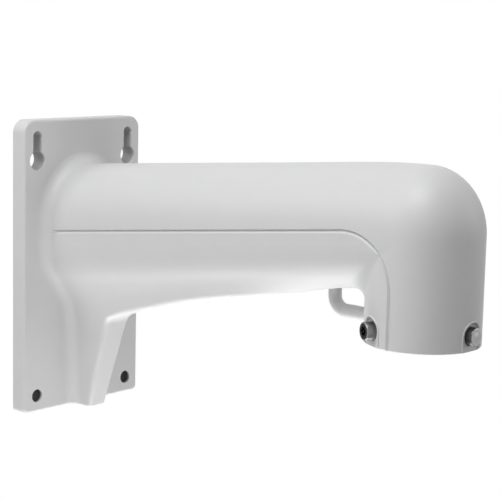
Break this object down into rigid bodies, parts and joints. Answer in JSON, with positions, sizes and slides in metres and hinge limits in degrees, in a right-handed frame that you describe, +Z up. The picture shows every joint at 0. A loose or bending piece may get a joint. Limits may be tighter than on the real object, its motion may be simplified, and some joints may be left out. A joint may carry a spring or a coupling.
{
  "type": "wall bracket",
  "caption": "Cast wall bracket: a rising hollow arm on a wall plate, braced by a short foot, ends in a downward collar with locking screws and a safety loop.",
  "frame": {"origin": "on the wall, in the middle of the wall plate's back face", "axes": "+X out from the wall along the arm, +Z up, Y = 0 the plane of symmetry"},
  "size_m": [0.3076, 0.097, 0.1826],
  "materials": {
    "paint": "fine matt light grey powder coat",
    "screw_steel": "bright turned steel"
  },
  "bodies": {
    "root": {"bracket_body": "paint", "lock_screw_left": "screw_steel", "lock_screw_front": "screw_steel", "lock_screw_right": "screw_steel"}
  },
  "joints": []
}
